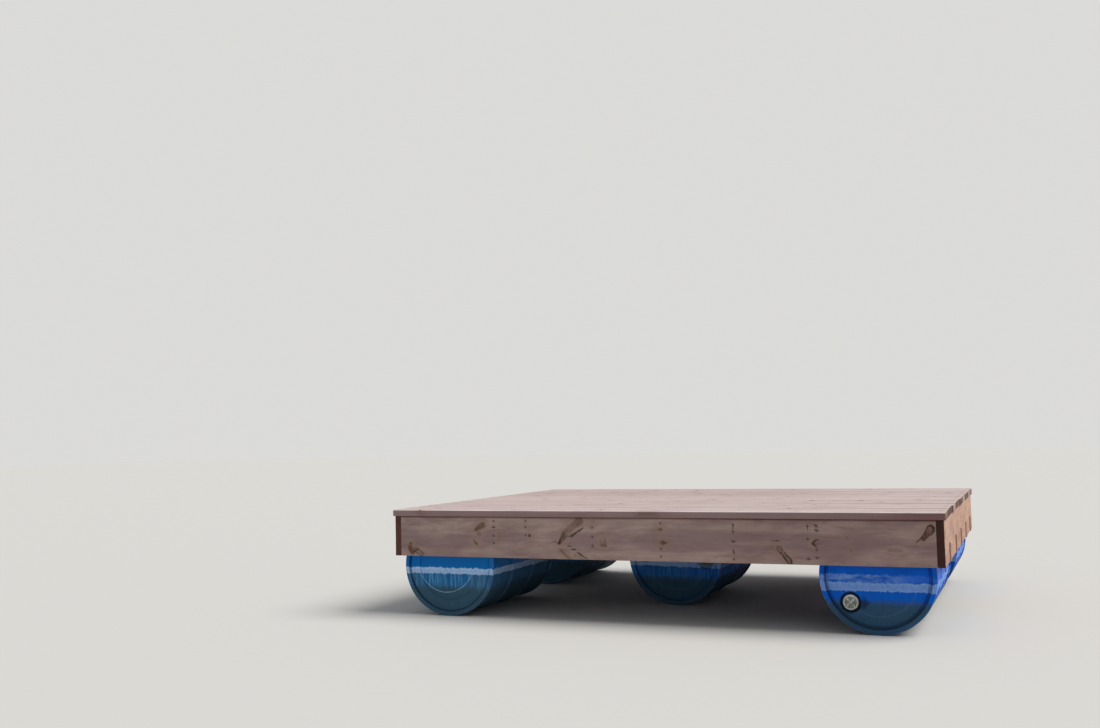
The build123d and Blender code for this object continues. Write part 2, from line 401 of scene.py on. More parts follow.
def near_knots(length, knots, spacing, fine):
    """Places of the rows along a board: even ones, and closer ones beside each knot."""
    rows = [np.linspace(-length / 2, length / 2, int(length / spacing) + 1)]
    for knot in knots:
        reach = knot_surround + max(knot[6], knot[7])
        start = np.clip(min(knot[0], knot[3]) - reach, -length / 2, length / 2)
        end = np.clip(max(knot[0], knot[3]) + reach, -length / 2, length / 2)
        rows.append(np.linspace(start, end, max(int((end - start) / fine), 1) + 1))
    return np.unique(np.round(np.concatenate(rows) / fine) * fine)


def solid_wood(points, pith, knots):
    """What the wood is at each point: (fibre, growth). It is the same for faces, edges and sawn ends. A
    knot is a cone, and its depth is the distance from its axis less its radius there, negative inside it.
    Near a knot the fibres part round it: they are pushed off its axis by its radius, fading with distance
    from it. The age is the distance from the tree's wandering middle to the fibre's place."""
    nearest = np.full(len(points), 0.5)
    darkness = np.zeros(len(points))
    push = np.zeros((len(points), 2))
    for knot in knots:
        start, end = np.array(knot[0:3]), np.array(knot[3:6])
        axis = end - start
        share = np.clip((points - start) @ axis / (axis @ axis), 0, 1)
        radius = knot[6] + (knot[7] - knot[6]) * share
        off = points - start - share[:, None] * axis
        distance = np.linalg.norm(off, axis=1)
        depth = distance - radius
        closer = depth < nearest
        nearest = np.where(closer, depth, nearest)
        darkness = np.where(closer, knot[8] + (knot[9] - knot[8]) * share, darkness)
        fade = np.exp(-np.maximum(depth, 0) / (0.006 + 1.1 * radius))
        push += (radius * fade / np.maximum(distance, 0.002))[:, None] * off[:, 1:]
    u = points[:, 0]
    v = points[:, 1] - push[:, 0]
    w = points[:, 2] - push[:, 1]
    pith_v = pith[0] + pith[1] * u + pith[2] * np.sin(2.1 * u + pith[5])
    pith_w = pith[3] + pith[4] * u + 0.5 * pith[2] * np.sin(1.7 * u + 2 * pith[5])
    age = np.hypot(v - pith_v, w - pith_w)
    return np.column_stack([u, v, w]), np.column_stack([age, nearest, darkness])


def marks_at(points, marks):
    """The nearest dark mark at each point: how far across it the point lies, with a sign, how near it is,
    and how far the mark reaches to each side. A mark is a crack or a line of bark on the face. It runs
    straight from place to place and widens or narrows evenly between them. The signed distance runs
    straight through zero, so a mark stays thin on coarse points, and the nearness hides it elsewhere."""
    closest = np.full(len(points), 9.0)
    facts = np.zeros((len(points), 3))
    for places in marks:
        for (u0, v0, wide0), (u1, v1, wide1) in zip(places, places[1:]):
            run = np.array([u1 - u0, v1 - v0])
            long = np.hypot(*run)
            along = ((points[:, 0] - u0) * run[0] + (points[:, 1] - v0) * run[1]) / long
            side = ((points[:, 1] - v0) * run[0] - (points[:, 0] - u0) * run[1]) / long
            past = np.maximum(np.maximum(-along, along - long), 0)
            distance = np.hypot(side, past)
            near = np.exp(-(distance / mark_reach) ** 4 - (past / mark_tip) ** 2) * (points[:, 2] > 0)
            half_width = wide0 + (wide1 - wide0) * np.clip(along / long, 0, 1)
            own_facts = np.column_stack([side, near, half_width])
            facts = np.where((distance < closest)[:, None], own_facts, facts)
            closest = np.minimum(distance, closest)
    return facts


def warped(points, length, width, warp):
    """A sawn board's small faults, in metres: it cups across, lifts towards the end where u is greatest,
    and its edges wander a little."""
    u, v, w = points.T
    cup, lift, wander, phase = warp
    across = (2 * v / width) ** 2
    lengthways = (0.5 + u / length) ** 2
    edge = wander * np.sin(9.0 * u + phase) * np.sin(2.3 * u + 2 * phase) * (2 * v / width)
    return np.column_stack([u, v + edge, w + cup * (across - 0.4) + lift * lengthways])


def corner_normals(points, triangles):
    """One direction for each point: the sum of the area vectors of the faces round it, made one long.
    Large flat faces outweigh the small ones on an edge, so flats look flat and edges look rounded."""
    a, b, c = points[triangles[:, 0]], points[triangles[:, 1]], points[triangles[:, 2]]
    areas = np.cross(b - a, c - a)
    total = np.zeros_like(points)
    for corner in range(3):
        np.add.at(total, triangles[:, corner], areas)
    return total / np.maximum(np.linalg.norm(total, axis=1), 1e-12)[:, None]


def put_piece(name, points, triangles, facts, finish):
    """Makes a visible piece of arrays of points and triangles, with one vector for each fact at each
    point."""
    mesh = bpy.data.meshes.new(name)
    mesh.vertices.add(len(points))
    mesh.vertices.foreach_set("co", points.astype(np.float32).ravel())
    mesh.loops.add(3 * len(triangles))
    mesh.loops.foreach_set("vertex_index", triangles.astype(np.int32).ravel())
    mesh.polygons.add(len(triangles))
    mesh.polygons.foreach_set("loop_start", np.arange(0, 3 * len(triangles), 3, dtype=np.int32))
    mesh.update(calc_edges=True)
    mesh.polygons.foreach_set("use_smooth", np.ones(len(triangles), bool))
    for fact, values in facts.items():
        made = mesh.attributes.new(fact, "FLOAT_VECTOR", "POINT")
        made.data.foreach_set("vector", values.astype(np.float32).ravel())
    mesh.normals_split_custom_set_from_vertices(corner_normals(points, triangles).tolist())
    mesh.materials.append(finish)
    piece = bpy.data.objects.new(name, mesh)
    bpy.context.scene.collection.objects.link(piece)
    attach(piece, "root")
    return piece


def board_facts(points, cut, size, wood, nails):
    """What a board's finish reads at each point: fibre, growth, wear and marks. Wear is the tone, the stain
    and the sawn ends' mask. The stain round a nail is exp(-(distance / stain_reach) squared), and
    damp_top darkens a line that fades out below the board's top edge: the painted shadow of an edge
    that laps over it. low_tone darkens the board towards its bottom edge as painted shade. tone_run is the
    tone at places along it. A board laid flat is bleached on top only, down to bleached_to below it. Under
    that it is darker by unbleached, also given at places along it, and its upper arrises are paler by
    worn_edge, a painted highlight."""
    _, width, thickness = size
    u, v, w = points.T
    front = w > 0
    fibre, growth = solid_wood(points, wood["pith"], wood["knots"])
    fibre[:, 0] += wood["shift"]
    stain = np.zeros(len(points))
    for nail_u, nail_v in nails:
        squared = (u - nail_u) ** 2 + (v - nail_v) ** 2
        stain = np.maximum(stain, wood.get("nail_stain", 1.0) * np.exp(-squared / stain_reach ** 2) * front)
    under_top = np.maximum(width / 2 - 0.004 - v, 0)
    damp = wood.get("damp_top", 0) * np.exp(-(under_top / lap_shadow_reach) ** 2) * front
    tone = wood["tone"] + wood.get("low_tone", 0) * np.clip((0.03 - v) / 0.14, 0, 1) - damp
    tone = tone + np.interp(u, *wood.get("tone_run", ((0,), (0,))))
    below = w < thickness / 2 - wood.get("bleached_to", 0.0005)
    arris = (w < thickness / 2 - 0.0003) & ~below
    unbleached = np.interp(u, *wood.get("unbleached", ((0,), (0,))))
    tone = tone - unbleached * below + wood.get("worn_edge", 0) * arris
    wear = np.column_stack([tone, stain, cut * wood["end_dark"]])
    marks = marks_at(points, wood.get("marks", ()))
    return {"fibre": fibre, "growth": growth, "wear": wear, "marks": marks}


def sawn_board(name, node, directions, finish, wood, warp, columns, edge_columns, nails=(),
               spacing=0.025, fine=0.004, edge=timber_edge):
    """One board in the place of a node. directions are the ways along it, across it and out of its face.
    wood holds its pith, knots, marks, tone and how dark its sawn ends are."""
    directions = np.array(directions, float)
    low, high = (np.array(corner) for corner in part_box(node))
    centre = (low + high) / 2
    size = np.abs(directions @ (high - low))
    crowded = list(wood["knots"]) + [(*n, 0, n[0], n[1], 0, 0, 0) for n in nails]
    for places in wood.get("marks", ()):
        crowded += [(u, v, 0, u, v, 0, half_width, half_width) for u, v, half_width in places]
    rows = near_knots(size[0], crowded, spacing, fine)
    points, triangles, cut = board_surface(*size, rows, columns, edge_columns, edge)
    places = centre + warped(points, size[0], size[1], warp) @ directions
    facts = board_facts(points, cut, size, wood, nails)
    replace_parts(put_piece(name, places, triangles, facts, finish), node)


def wood_grain(finish, fibre, growth, wear, marks, pale, cool, dark, knot_wood, ends, ring, weather, patch):
    """Sawn softwood. Growth rings are the fractional part of age / ring width, pale early wood darkening to
    a thin line of late wood. Wood near the pith is cooler and darker. Fibre streaks, knots with their bark
    line and their tan surround, dark marks, stains and sawn ends are laid on it."""
    age, depth, darkness = parts_of(growth)
    tone, stain, cut = parts_of(wear)
    aside, near, half_width = parts_of(marks)
    wobble = clouds(fibre, (1.6, 14.0, 14.0))
    widths = step("TexNoise", {"W": age, "Scale": 70.0, "Detail": 1.0}, noise_dimensions="1D")
    count = line(wobble, 2.2, work("DIVIDE", age, ring))
    part = work("FRACT", line(widths, 2.0, count))
    late = times(ramp(part, 0.25, 0.86), ramp(part, 1.0, 0.93))
    streaks = clouds(fibre, (7.0, 520.0, 520.0), detail=3.0, rough=0.6)
    bands = clouds(fibre, (1.4, 42.0, 42.0), detail=4.0, rough=0.65, seed=(4.0, 4.0, 4.0))
    broad = clouds(fibre, (2.4, 11.0, 11.0), detail=4.0, rough=0.6, seed=(9.0, 5.0, 2.0))
    mottle = clouds(fibre, patch, detail=4.0, rough=0.6, seed=(7.0, 8.0, 3.0))
    blots = clouds(fibre, (48.0, 70.0, 70.0), detail=4.0, rough=0.65, seed=(5.0, 3.0, 1.0))
    flecks = clouds(fibre, (120.0, 190.0, 190.0), detail=3.0, rough=0.7, seed=(6.0, 2.0, 8.0))

    # Clear wood
    heart = ramp(age, 0.075, 0.015, 0.0, 0.17)
    base = coat(ramp(work("ADD", broad, heart), 0.40, 0.72), pale, cool)
    amount = line(late, 0.18, times(ramp(streaks, 0.3, 0.75), 0.14))
    amount = line(ramp(bands, 0.42, 0.74), 0.24, amount)
    amount = line(ramp(mottle, 0.44, 0.70), 0.32, amount)
    colour = coat(amount, base, dark)

    # Knots: tan wood round each, then what is inside it, then its bark line. A soft one is only a dark
    # smudge.
    rough_depth = swayed(depth, blots, 0.018)
    soft = ramp(darkness, 1.10, 1.18)
    hard = less(1.0, soft)
    around = swayed(depth, bands, 0.030)
    tan = times(ramp(around, 0.042, 0.004), ramp(darkness, 0.1, 0.5, 0.0, 0.62))
    pale_tan = tuple(0.65 * wood + 0.35 * knot for wood, knot in zip(pale, knot_wood))
    tan_wood = coat(amount, pale_tan, knot_wood)
    colour = coat(tan, colour, tan_wood)
    faint, full = ramp(darkness, 0.0, 0.3, 0.0, 0.3), ramp(darkness, 0.5, 0.95, 0.0, 0.65)
    smudged = times(less(darkness, 1.2), soft)
    filled = line(work("ADD", faint, full), hard, smudged)
    inside = times(ramp(rough_depth, 0.0050, -0.0050), filled)
    knot_rings = work("FRACT", line(depth, 330.0, times(flecks, 1.5)))
    knot_colour = coat(ramp(knot_rings, 0.3, 1.0, 0.0, 0.45), knot_wood, paint(70, 48, 38))
    knot_colour = coat(ramp(blots, 0.44, 0.58, 0.0, 0.7), knot_colour, paint(58, 36, 28))
    knot_colour = coat(ramp(flecks, 0.48, 0.66, 0.0, 0.6), knot_colour, paint(46, 30, 24))
    knot_colour = coat(soft, knot_colour, (1.0, 1.08, 1.26, 1.0), "MULTIPLY")
    colour = coat(inside, colour, knot_colour)
    bark = ramp(gap(rough_depth, -0.0016), 0.0056, 0.0006)
    barked = times(ramp(darkness, 0.34, 0.46, 0.0, 0.8), hard)
    bark = times(bark, barked, ramp(blots, 0.36, 0.56, 0.35, 1.0))
    colour = coat(times(bark, 0.8), colour, paint(44, 28, 23))

    # The board's own tone, which is warmer the darker it is, and its cracks and bark lines
    warmer = line(tone, 1.22, 1.0)
    shade = step("CombineColor", {0: work("ADD", tone, 1.0), 1: warmer, 2: warmer})
    colour = coat(1.0, colour, shade, "MULTIPLY")
    ragged = line(blots, 1.7, line(flecks, 1.1, -0.4))
    gape = line(half_width, ragged, 0.00001)
    mark = ramp(work("DIVIDE", work("ABSOLUTE", aside), gape), 1.6, 0.3)
    mark = times(mark, ramp(near, 0.35, 0.7))
    colour = coat(times(mark, 0.80), colour, paint(46, 28, 22))

    # Mould, the stains round nails, and the sawn ends
    mould = clouds(fibre, (11.0, 38.0, 38.0), detail=5.0, rough=0.7, seed=(2.0, 7.0, 6.0))
    mouldy = times(ramp(mould, 0.55, 0.80), weather)
    colour = coat(mouldy, colour, paint(92, 84, 80))
    ragged_stain = times(stain, ramp(blots, 0.30, 0.62, 0.45, 1.0))
    colour = coat(times(ragged_stain, 0.74), colour, paint(64, 44, 40))
    end_patches = clouds(fibre, (3.0, 26.0, 26.0), detail=3.0, rough=0.6, seed=(1.0, 5.0, 9.0))
    ragged_cut = times(cut, ramp(end_patches, 0.36, 0.52, 0.76, 1.0))
    end_wood = coat(ramp(ragged_cut, 0.3, 0.9), *ends)
    end_rings = line(late, 0.35, times(streaks, 0.25))
    end_grain = coat(end_rings, end_wood, paint(44, 27, 22))
    colour = coat(ramp(cut, 0.02, 0.12), colour, end_grain)

    along = parts_of(fibre)[0]
    saw = step("TexNoise", {"W": along, "Scale": 260.0, "Detail": 2.0}, noise_dimensions="1D")
    height = line(saw, 0.18, line(late, 0.30, times(streaks, 0.55)))
    cleft = work("MAXIMUM", bark, times(mark, 2.0))
    roughness = line(late, -0.10, 0.80)
    return close_finish(finish, colour, roughness, line(cleft, -0.8, height), 0.0006)


def board_finish(name, **colours):
    """Sawn wood on a board that carries its own fibre, growth, wear and marks."""
    finish = bare_finish(name, 0.8, 0.25)
    facts = [step("Attribute", {}, "Vector", finish.node_tree, attribute_name=fact)
             for fact in ("fibre", "growth", "wear", "marks")]
    return wood_grain(finish, *facts, **colours)


def random_wood(width, length, knots, heart, tone, end_dark):
    """A board's own wood, with so many knots. Branches leave the pith, all leaning the way the tree grew,
    and widen as they go. heart is how far below the board's face the pith lies, at least and at most."""
    lean = draw.choice([-1, 1]) * draw.uniform(0.3, 0.9)
    pith = (draw.uniform(-0.3, 0.3) * width, draw.uniform(-0.006, 0.006), draw.uniform(0.002, 0.008),
            -draw.uniform(*heart), draw.uniform(-0.008, 0.008), draw.uniform(0, 6))
    grown = []
    for place in range(knots):
        u = (draw.uniform(0.08, 0.92) + place) / knots * length - length / 2
        turn = draw.uniform(-0.75, 0.75) + np.pi / 2
        size = draw.choice([draw.uniform(0.004, 0.008), draw.uniform(0.008, 0.016)])
        reach = 0.16
        tip = (u + lean * reach * 0.6, pith[0] + reach * np.cos(turn), pith[3] + reach * np.sin(turn))
        dark = draw.uniform(0.45, 1.0)
        grown.append((u, pith[0], pith[3], *tip, 0.3 * size, 1.5 * size, dark, dark))
    return {"pith": pith, "knots": grown, "tone": tone, "end_dark": end_dark, "shift": draw.uniform(-4, 4)}


# Front rim: the board holds the pith, so its branches show as long spikes that lean to the right. Each is
# start x, z and end x, z on the face, its radius at each end, all in mm, and how dark each end is. Up to 1
# is a knot with its bark line, pale inside under 0.5. Over 1.2 is a soft smudge, as strong as what is over.
rim_knots_mm = [
    (-1464, 399, -1447, 376, 16, 17, 2.12, 2.12), (-1460, 423, -1460, 423, 6, 6, 0.75, 0.75),
    (-1424, 388, -1386, 364, 15, 13, 0.46, 0.46), (-1021, 511, -978, 537, 11, 18, 2.15, 1.90),
    (-1041, 505, -1041, 505, 6, 6, 1.5, 1.5), (-1003, 487, -999, 482, 12, 10, 0.38, 0.38),
    (-1035, 444, -1016, 427, 5, 7, 2.15, 2.15), (-875, 487, -877, 447, 9, 9, 1.27, 1.27),
    (-680, 480, -680, 480, 8, 8, 0.85, 0.85), (-496, 438, -463, 490, 7, 20, 2.20, 2.00),
    (-463, 490, -420, 531, 19, 18, 1.74, 1.66), (-420, 531, -374, 564, 18, 25, 1.66, 1.90),
    (-291, 560, -291, 560, 14, 14, 1.40, 1.40), (-400, 372, -352, 356, 15, 12, 0.26, 0.26),
    (-494, 408, -464, 380, 5, 8, 1.80, 1.80), (-464, 380, -428, 348, 8, 9, 1.70, 1.62),
    (-249, 468, -248, 438, 6, 8, 1.32, 1.52), (-225, 476, -222, 440, 6, 9, 1.50, 1.70),
    (-244, 435, -219, 432, 10, 11, 1.86, 1.86), (88, 523, 110, 523, 6, 6, 1.60, 1.60),
    (101, 452, 113, 452, 6, 12, 2.20, 2.20), (113, 452, 140, 453, 12, 3, 2.20, 2.00),
    (742, 432, 796, 362, 12, 12, 0.45, 0.55), (935, 462, 954, 464, 14, 11, 0.32, 0.24),
    (920, 461, 932, 462, 10, 8, 1.72, 1.50), (1091, 491, 1091, 491, 9, 9, 0.27, 0.27),
    (1109, 431, 1109, 431, 9, 9, 0.27, 0.27), (1300, 436, 1350, 434, 12, 14, 0.20, 0.20),
    (1496, 541, 1464, 494, 17, 12, 0.72, 0.93), (1467, 494, 1467, 494, 8, 8, 0.95, 0.95),
]
# Cracks and bark lines: each place that one runs through on the face, as x, z and half its width there, in
# mm.
rim_marks_mm = [
    ((-500, 437, 6), (-493, 456, 5), (-485, 474, 2)),
    ((-446, 478, 1), (-432, 480, 3), (-422, 482, 10), (-410, 488, 7), (-388, 504, 5), (-373, 512, 7),
     (-351, 527, 2)),
    ((-446, 425, 2), (-437, 425, 4.5), (-428, 424, 2)), ((-421, 407, 2), (-411, 406, 6), (-399, 406, 3)),
    ((-388, 389, 3), (-376, 384, 7), (-362, 374, 5), (-353, 369, 2)),
    ((-350, 367, 2), (-340, 362, 4), (-330, 356, 2)), ((-535, 449, 1), (-499, 440, 3)),
    ((-1437, 373, 4), (-1424, 384, 5), (-1403, 391, 2)),
    ((706, 470, 1.5), (724, 471, 2), (738, 471, 3.5), (745, 470, 1)),
    ((755, 411, 2), (767, 389, 4.5), (789, 358, 3)), ((773, 409, 2), (803, 379, 3)),
    ((806, 374, 3), (807, 350, 4)),
    ((946, 482, 2), (930, 477, 5), (917, 461, 6), (926, 450, 5), (938, 442, 2)),
    ((503, 556, 1), (504, 549, 2), (501, 532, 2), (500, 520, 1)),
    ((489, 466, 1), (501, 465, 2.5), (513, 466, 1)), ((496, 430, 1), (503, 421, 2.5), (504, 402, 1.5)),
    ((892, 554, 1), (894, 545, 2.5), (893, 530, 1)), ((881, 380, 1), (893, 382, 2.5), (906, 380, 1)),
    ((926, 557, 1), (938, 554, 3), (945, 545, 1.5)), ((929, 532, 1.5), (940, 527, 4), (950, 524, 1.5)),
    ((928, 389, 1), (938, 388, 2), (948, 390, 1)), ((-918, 525, 1.5), (-906, 526, 4), (-896, 524, 1.5)),
    ((1484, 553, 3), (1501, 559, 7), (1514, 548, 7), (1513, 528, 5), (1499, 512, 3)),
    ((1458, 501, 4), (1446, 490, 4), (1429, 474, 2)),
]
# Nails in the front rim: the height of each one in the column at that x, in mm.
rim_nails_mm = {
    -907: (560, 525, 476, 434), -704: (562, 527, 482), -297: (529, 478, 428), 100: (557, 523, 418, 377),
    502: (552, 516, 465, 409, 372), 893: (550, 483, 381), 937: (552, 527, 428, 387),
}
rim_middle_z = 0.4678
rim_face = 0.019


def front_rim_knots():
    """The front rim's knots in the board's own directions. Spikes lie in the face, and round knots go
    straight through the board."""
    knots = []
    for x0, z0, x1, z1, r0, r1, dark0, dark1 in rim_knots_mm:
        round_knot = x0 == x1
        start = (x0 / 1000, z0 / 1000 - rim_middle_z, -rim_face if round_knot else rim_face - 0.002)
        end = (x1 / 1000, z1 / 1000 - rim_middle_z, rim_face)
        knots.append((*start, *end, r0 / 1000, r1 / 1000, dark0, dark1))
    return knots


rim_colours = dict(
    pale=paint(182, 158, 149), cool=paint(149, 125, 125), dark=paint(126, 101, 98),
    knot_wood=paint(124, 92, 70), ends=(paint(112, 74, 58), paint(62, 33, 29)),
    ring=0.0052, weather=0.12, patch=(9.0, 28.0, 28.0),
)
# The side boards take the rim's wood in a paler, more orange copy: painted warm sunlight.
side_warm_lit_colours = dict(
    rim_colours, pale=paint(194, 158, 138), cool=paint(172, 137, 123), dark=paint(146, 112, 98),
)
rim_timber = board_finish("rim_softwood", **rim_colours)
side_warm_lit_timber = board_finish("side_softwood_warm_lit", **side_warm_lit_colours)

rim_size, side_size = (0.235, 3.048), (0.235, 2.438)
front_wood = random_wood(*rim_size, 0, (0.004, 0.005), 0.0, 0.9)
back_wood = random_wood(*rim_size, 9, (0.01, 0.03), -0.03, 0.9)
right_wood = random_wood(*side_size, 7, (0.03, 0.06), 0.04, 1.0)
left_wood = random_wood(*side_size, 7, (0.02, 0.05), -0.02, 0.55)
front_wood.update(
    pith=(-0.010, -0.001, 0.006, 0.002, 0.008, 1.0),
    knots=front_rim_knots(),
    marks=[[(x / 1000, z / 1000 - rim_middle_z, half_width / 1000) for x, z, half_width in places]
           for places in rim_marks_mm],
    # A painted shadow along the top, under the deck board that laps over the rim.
    damp_top=0.55,
    tone_run=((-0.46, -0.37, -0.26, 0.42, 0.58, 0.78, 1.5), (0.0, 0.05, 0.0, 0.0, -0.15, -0.10, -0.12)),
    # Darker towards its bottom edge: painted shade.
    low_tone=-0.05,
)
# The side boards are darker towards their bottom edges: painted shade.
right_wood["low_tone"] = -0.13
left_wood["low_tone"] = -0.10

front_nails = [(x / 1000, z / 1000 - rim_middle_z) for x, heights in rim_nails_mm.items() for z in heights]
back_nails = [(-u, v) for u, v in front_nails]
side_nails = [(end * 1.200, v) for end in (-1, 1) for v in (-0.085, -0.030, 0.032, 0.088)]
facing_front = ((1, 0, 0), (0, 0, 1), (0, -1, 0))
facing_back = ((-1, 0, 0), (0, 0, 1), (0, 1, 0))
facing_right = ((0, 1, 0), (0, 0, 1), (1, 0, 0))
facing_left = ((0, -1, 0), (0, 0, 1), (-1, 0, 0))
sawn_board("front_rim_plank", "front_rim_board", facing_front, rim_timber, front_wood,
           (0.0, 0.0, 0.0003, 1.0), columns=40, edge_columns=6, nails=front_nails, spacing=0.012)
for side, directions, timber, wood, phase, nails in (
    ("back_rim", facing_back, rim_timber, back_wood, 2.0, back_nails),
    ("right_side", facing_right, side_warm_lit_timber, right_wood, 3.0, side_nails),
    ("left_side", facing_left, side_warm_lit_timber, left_wood, 4.0, side_nails),
):
    sawn_board(side + "_plank", side + "_board", directions, timber, wood,
               (0.0004, 0.0, 0.0003, phase), columns=32, edge_columns=6, nails=nails)

# Side laths
# Five short laths of the same wood are nailed on the lower half of each side board, about 470 mm apart.
# They stand only 7 mm proud, so from the front each shows as a thin dark line, which is its edge in shade.
lath_places = (-0.91, -0.43, 0.03, 0.51, 0.97)
lath_size = np.array([0.092, 0.045, 0.008])
lath_middle_z = 0.399
lath_sunk = 0.001


def side_laths(name, face_x, outward):
    """A row of laths as one piece. Each is a board of its own, stood on end, with its own knots and
    tone."""
    directions = np.array([(0, 0, 1), (0, -outward, 0), (outward, 0, 0)], float)
    length, width, thickness = lath_size
    middle_x = face_x + outward * (thickness / 2 - lath_sunk)
    all_points, all_triangles, all_facts, nails = [], [], [], []
    first = 0
    for y in lath_places:
        wood = random_wood(width, length, 1, (0.01, 0.03), draw.uniform(-0.06, 0.05), 0.3)
        rows = np.linspace(-length / 2, length / 2, 16)
        points, triangles, cut = board_surface(*lath_size, rows, 8, 2, 0.0015)
        own_nails = [(u, draw.uniform(-0.006, 0.006)) for u in (-0.030, 0.030)]
        all_points.append(np.array([middle_x, y, lath_middle_z]) + points @ directions)
        all_triangles.append(triangles + first)
        all_facts.append(board_facts(points, cut, lath_size, wood, own_nails))
        first += len(points)
        face = middle_x + outward * thickness / 2
        nails += [(face, y - outward * v, lath_middle_z + u) for u, v in own_nails]
    facts = {fact: np.vstack([each[fact] for each in all_facts]) for fact in all_facts[0]}
    put_piece(name, np.vstack(all_points), np.vstack(all_triangles), facts, side_warm_lit_timber)
    return nails


right_lath_nails = side_laths("right_side_laths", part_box("right_side_board")[1].x, 1)
left_lath_nails = side_laths("left_side_laths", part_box("left_side_board")[0].x, -1)

# Joists, headers, trimmers and blocks
# Boards of the same section stand on edge under the deck and box each drum into its bay. They are nailed
# through the rims and into each other, and stay darker than the rim because they never see the sun.
# The last word of a node's name says which way its boards run.
joist_kinds = {"along_y": ("joist", "joists", "trimmers"), "along_x": ("header", "block")}


def joist_finish(name, turned):
    """Sawn wood on the frame's plain solids. The fibre is the place itself, turned so that it runs along
    the board. The rings are nearly flat, as they are far from the pith, and the knots are spots of
    stretched cells."""
    finish = bare_finish(name, 0.8, 0.25)
    x, y, z = parts_of(step("TexCoord", {}, "Object", finish.node_tree))
    along, beside = (y, x) if turned else (x, y)
    fibre = step("CombineXYZ", {0: along, 1: z, 2: beside})
    sway = clouds(fibre, (0.8, 1.5, 3.0), detail=1.0)
    age = work("ADD", line(sway, 0.05, z), times(beside, 0.3))
    cells = step("VectorMath", {0: fibre, 1: (3.1, 7.0, 5.0)}, operation="MULTIPLY")
    spot = step("TexVoronoi", {"Vector": cells, "Scale": 1.0, "Randomness": 1.0}, out="Distance")
    depth = line(spot, 0.15, -0.011)
    growth = step("CombineXYZ", {0: age, 1: depth, 2: 0.8})
    facing = parts_of(step("NewGeometry", {}, "Normal", finish.node_tree))
    end_facing = work("ABSOLUTE", facing[1 if turned else 0])
    wear = step("CombineXYZ", {0: -0.06, 1: 0.0, 2: ramp(end_facing, 0.85, 0.95)})
    marks = step("CombineXYZ", {0: 1.0, 1: 0.0, 2: 0.0}, tree=finish.node_tree)
    return wood_grain(finish, fibre, growth, wear, marks, **{**rim_colours, "weather": 0.45})


for direction, kinds in joist_kinds.items():
    joists = [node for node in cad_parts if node.endswith(kinds)]
    refinish(joists, joist_finish("joist_softwood_" + direction, direction == "along_y"))

# Deck boards
# Seventeen sawn boards run from side to side, nailed down with thin gaps. The front one laps over the rim,
# their ends are cut a little uneven, and each has its own tone and knots.
deck_nail_xs = (-1.541, -0.912, -0.711, -0.305, 0.102, 0.508, 0.893, 1.541)
deck_nail_reach = 0.046
deck_edge = 0.006
deck_size = (0.140, 3.14)
deck_timber = board_finish(
    "deck_softwood", pale=paint(203, 188, 184), cool=paint(190, 173, 174), dark=paint(158, 139, 135),
    knot_wood=paint(126, 94, 78), ends=(paint(186, 160, 146), paint(92, 62, 54)), ring=0.0048, weather=0.14,
    patch=(3.0, 60.0, 60.0),
)
# Each board from the front to the back: how far its right end lifts, and how dark its sawn ends are. The
# darkness is partly end grain and partly painted shade of ends that stand out past their neighbours.
deck_lifts_and_ends = (
    (0.0, 0.7), (0.0, 1.0), (0.0016, 1.0), (0.0008, 0.95), (0.0, 0.35), (0.0013, 0.75), (0.0006, 1.0),
    (0.0014, 0.7), (0.0004, 0.95), (0.0, 0.8), (0.0009, 0.35), (0.0, 0.4), (0.0006, 0.85), (0.0, 1.0),
    (0.0008, 0.5), (0.0, 0.3), (0.0, 0.25),
)
deck_nail_places = []
lying = ((1, 0, 0), (0, 1, 0), (0, 0, 1))
for row, (lift, end_dark) in enumerate(deck_lifts_and_ends):
    node = f"deck_board_{row + 1:02d}"
    low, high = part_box(node)
    middle = (low + high) / 2
    tone = draw.uniform(-0.055, 0.045)
    wood = random_wood(*deck_size, int(draw.integers(3, 7)), (0.02, 0.09), tone, end_dark)
    # Towards the back the edges are less dark, and the tops darker except near their right ends.
    far = min(max((row - 6) / 6, 0), 1)
    wood["unbleached"] = ((0,), (0.51 - 0.16 * far,))
    wood["tone_run"] = ((-1.5, 0.3, 1.0, 1.4), (-0.11 * far, -0.11 * far, -0.03 * far, 0))
    wood["nail_stain"] = 0.5
    if row == 0:
        # The front board's edge shows all along the jetty: paler on its top arris as a painted highlight,
        # darker to the right, with one knot and no other near it.
        wood["bleached_to"] = 0.0048
        wood["worn_edge"] = 0.40
        wood["unbleached"] = ((0.70, 0.95, 1.30, 1.48), (0.455, 0.49, 0.54, 0.63))
        wood["knots"] = [knot for knot in wood["knots"] if abs(knot[3] - 0.03) > 0.25]
        wood["knots"].append((-0.016, -0.070, 0.003, 0.076, -0.070, 0.003, 0.006, 0.008, 1.62, 1.45))
    warp = (draw.uniform(-0.0003, 0.0006), lift, 0.0004, draw.uniform(0, 6))
    nails = [
        (x - middle.x + draw.uniform(-0.003, 0.003), side * deck_nail_reach + draw.uniform(-0.005, 0.005))
        for x in deck_nail_xs for side in (-1, 1)
    ]
    sawn_board(f"deck_plank_{row + 1:02d}", node, lying, deck_timber, wood, warp,
               columns=18, edge_columns=5, nails=nails, fine=0.005, edge=deck_edge)
    rises = [lift * (0.5 + u / (high.x - low.x)) ** 2 for u, _ in nails]
    deck_nail_places += [(middle.x + u, middle.y + v, high.z + rise) for (u, v), rise in zip(nails, rises)]

# Nails
# Galvanised nails, driven just flush: columns through the rims into the joists' ends, pairs through each
# deck board into every joist, and a column at each corner. Their heads have dulled and let dark stains into
# the wood.
nail_head_radius = 0.0036
nail_sides = 10
